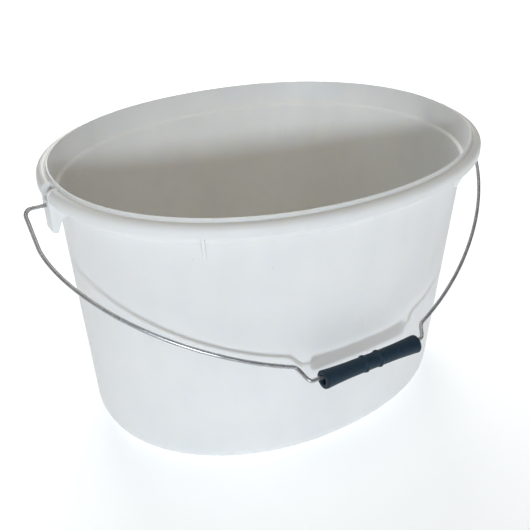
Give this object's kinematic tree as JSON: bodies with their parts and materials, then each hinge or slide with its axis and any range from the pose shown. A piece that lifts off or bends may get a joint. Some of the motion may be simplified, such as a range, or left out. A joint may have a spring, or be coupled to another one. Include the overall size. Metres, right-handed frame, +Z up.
{
  "type": "florist bucket",
  "caption": "Oval white plastic bucket with a rolled rim, two end ears, a swinging steel wire bail and a black tube grip.",
  "frame": {"origin": "centre of the flat underside", "axes": "+X along the oval towards one ear, +Y away from the side where the bail hangs, +Z up through the mouth"},
  "size_m": [0.4254, 0.3179, 0.241],
  "materials": {
    "white_plastic": "satin moulded polypropylene",
    "galvanised_wire": "drawn and galvanised",
    "black_plastic": "matt moulded polyethylene"
  },
  "bodies": {
    "bucket": {"bucket_shell": "white_plastic"},
    "bail": {"bail_wire": "galvanised_wire"},
    "grip": {"hand_grip": "black_plastic"}
  },
  "joints": [
    {"name": "bail_swing", "type": "hinge", "parent": "bucket", "child": "bail", "pos_m": [0, 0, 0.2243], "axis": [-1, 0, 0], "range_deg": [-9, 262]},
    {"name": "grip_spin", "type": "hinge", "parent": "bail", "child": "grip", "pos_m": [-0.0025, -0.15924, 0.10647], "axis": [1, 0, 0], "continuous": true}
  ]
}
